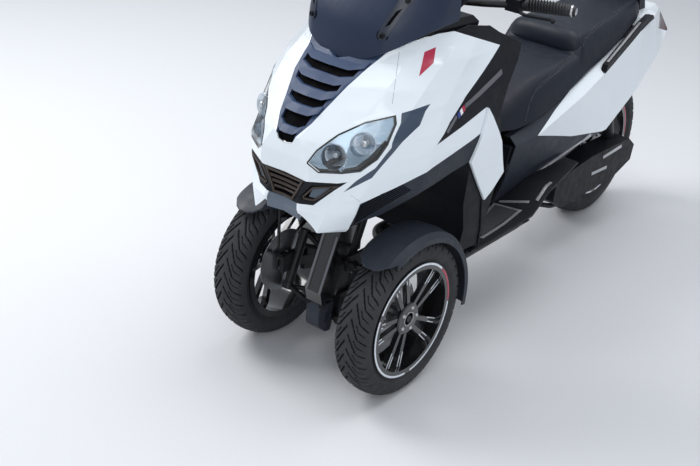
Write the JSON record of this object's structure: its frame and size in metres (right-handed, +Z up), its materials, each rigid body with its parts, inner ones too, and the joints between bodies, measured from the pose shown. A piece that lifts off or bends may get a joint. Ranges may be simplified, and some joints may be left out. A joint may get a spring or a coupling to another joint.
{
  "type": "reverse trike scooter",
  "caption": "Tilting reverse trike scooter with steered front wheels, a fairing, a windscreen, a stepped seat over a storage bin and a driven rear wheel.",
  "frame": {"origin": "on the ground under the middle of the bounding box", "axes": "+X forward, +Y to the rider's left, +Z up"},
  "size_m": [2.065, 0.8402, 1.4463],
  "materials": {
    "backrest": "matt",
    "backrest_bracket": "matt",
    "bar_controls": "satin",
    "brake_disc_left": "brushed",
    "brake_disc_right": "brushed",
    "centre_stand": "satin",
    "centre_tunnel": "satin",
    "column_cap": "satin",
    "dashboard": "satin",
    "drl_strips": "satin",
    "engine": "cast",
    "floor_boards": "satin",
    "front_column_cover": "satin",
    "grab_rails": "satin",
    "grille_backs": "satin",
    "grips": "matt",
    "handlebar": "satin",
    "headlamp_bowls": "polished",
    "headlamp_lenses": "clear",
    "knuckle_left": "satin",
    "knuckle_right": "satin",
    "leg_shield": "satin",
    "louvre_insert": "satin",
    "lower_wishbones": "satin",
    "main_frame": "satin",
    "mirrors": "satin",
    "mouth_grille": "satin",
    "mudguard_left": "satin",
    "mudguard_right": "satin",
    "nose_panel": "pearl white",
    "rear_axle": "brushed",
    "rear_mudguard": "satin",
    "rear_shocks": "satin",
    "rear_side_panels": "pearl white",
    "rim_front_left": "gloss black",
    "rim_front_right": "gloss black",
    "rim_rear": "gloss black",
    "seat": "matt",
    "seat_pan": "matt",
    "shield_blades": "pearl white",
    "side_cowls": "satin",
    "side_infill_panels": "satin",
    "silencer": "satin",
    "skid_plate": "satin",
    "steering_stem": "satin",
    "storage_bin": "satin",
    "swingarm": "cast",
    "tail_hatch": "satin",
    "tail_lamps": "gloss",
    "tail_panel": "pearl white",
    "track_rod": "satin",
    "transmission_case": "satin",
    "tyre_front_left": "matt",
    "tyre_front_right": "matt",
    "tyre_rear": "matt",
    "undertray": "satin",
    "upper_wishbones": "satin",
    "windscreen": "clear",
    "windscreen_cover": "matt",
    "wing_trims": "satin"
  },
  "bodies": {
    "chassis": {"backrest": "backrest", "backrest_bracket": "backrest_bracket", "centre_tunnel": "centre_tunnel", "column_cap": "column_cap", "dashboard": "dashboard", "drl_strips": "drl_strips", "engine": "engine", "floor_boards": "floor_boards", "front_column_cover": "front_column_cover", "grab_rails": "grab_rails", "grille_backs": "grille_backs", "headlamp_bowls": "headlamp_bowls", "headlamp_lenses": "headlamp_lenses", "leg_shield": "leg_shield", "louvre_insert": "louvre_insert", "lower_wishbones": "lower_wishbones", "main_frame": "main_frame", "mirrors": "mirrors", "mouth_grille": "mouth_grille", "nose_panel": "nose_panel", "rear_axle": "rear_axle", "rear_mudguard": "rear_mudguard", "rear_shocks": "rear_shocks", "rear_side_panels": "rear_side_panels", "shield_blades": "shield_blades", "side_cowls": "side_cowls", "side_infill_panels": "side_infill_panels", "silencer": "silencer", "skid_plate": "skid_plate", "storage_bin": "storage_bin", "swingarm": "swingarm", "tail_lamps": "tail_lamps", "tail_panel": "tail_panel", "transmission_case": "transmission_case", "undertray": "undertray", "upper_wishbones": "upper_wishbones", "windscreen": "windscreen", "windscreen_cover": "windscreen_cover", "wing_trims": "wing_trims"},
    "steering": {"steering_stem": "steering_stem", "handlebar": "handlebar", "grips": "grips", "bar_controls": "bar_controls"},
    "track_rod": {"track_rod": "track_rod"},
    "knuckle_left": {"knuckle_left": "knuckle_left", "mudguard_left": "mudguard_left"},
    "knuckle_right": {"knuckle_right": "knuckle_right", "mudguard_right": "mudguard_right"},
    "wheel_front_left": {"tyre_front_left": "tyre_front_left", "rim_front_left": "rim_front_left", "brake_disc_left": "brake_disc_left"},
    "wheel_front_right": {"tyre_front_right": "tyre_front_right", "rim_front_right": "rim_front_right", "brake_disc_right": "brake_disc_right"},
    "wheel_rear": {"tyre_rear": "tyre_rear", "rim_rear": "rim_rear"},
    "seat": {"seat": "seat", "seat_pan": "seat_pan"},
    "tail_hatch": {"tail_hatch": "tail_hatch"},
    "centre_stand": {"centre_stand": "centre_stand"}
  },
  "joints": [
    {"name": "steering_turn", "type": "hinge", "parent": "chassis", "child": "steering", "pos_m": [0.58686, 0, 0.6], "axis": [-0.3746, 0, 0.9272], "range_deg": [-30, 30]},
    {"name": "kingpin_left", "type": "hinge", "parent": "chassis", "child": "knuckle_left", "pos_m": [0.7315, 0.1855, 0.242], "axis": [-0.3746, 0, 0.9272], "range_deg": [-30, 30]},
    {"name": "kingpin_right", "type": "hinge", "parent": "chassis", "child": "knuckle_right", "pos_m": [0.7315, -0.1855, 0.242], "axis": [-0.3746, 0, 0.9272], "range_deg": [-30, 30]},
    {"name": "track_rod_eye", "type": "hinge", "parent": "steering", "child": "track_rod", "pos_m": [0.63995, 0, 0.25503], "axis": [-0.3746, 0, 0.9272], "range_deg": [-30, 30]},
    {"name": "wheel_front_left_spin", "type": "hinge", "parent": "knuckle_left", "child": "wheel_front_left", "pos_m": [0.7645, 0.2325, 0.242], "axis": [0, 1, 0], "continuous": true},
    {"name": "wheel_front_right_spin", "type": "hinge", "parent": "knuckle_right", "child": "wheel_front_right", "pos_m": [0.7645, -0.2325, 0.242], "axis": [0, 1, 0], "continuous": true},
    {"name": "wheel_rear_spin", "type": "hinge", "parent": "chassis", "child": "wheel_rear", "pos_m": [-0.7355, 0, 0.276], "axis": [0, 1, 0], "continuous": true},
    {"name": "seat_hinge", "type": "hinge", "parent": "chassis", "child": "seat", "pos_m": [0.1795, 0, 0.59], "axis": [0, 1, 0], "range_deg": [0, 70]},
    {"name": "tail_hatch_hinge", "type": "hinge", "parent": "chassis", "child": "tail_hatch", "pos_m": [-1.0245, 0, 0.746], "axis": [0, 1, 0], "range_deg": [0, 80]},
    {"name": "centre_stand_pivot", "type": "hinge", "parent": "chassis", "child": "centre_stand", "pos_m": [-0.2955, 0, 0.178], "axis": [0, 1, 0], "range_deg": [-95, 0]}
  ],
  "couplings": [
    {"joint": "kingpin_left", "follows": "steering_turn", "ratio": 1},
    {"joint": "kingpin_right", "follows": "steering_turn", "ratio": 1},
    {"joint": "track_rod_eye", "follows": "steering_turn", "ratio": -1}
  ]
}
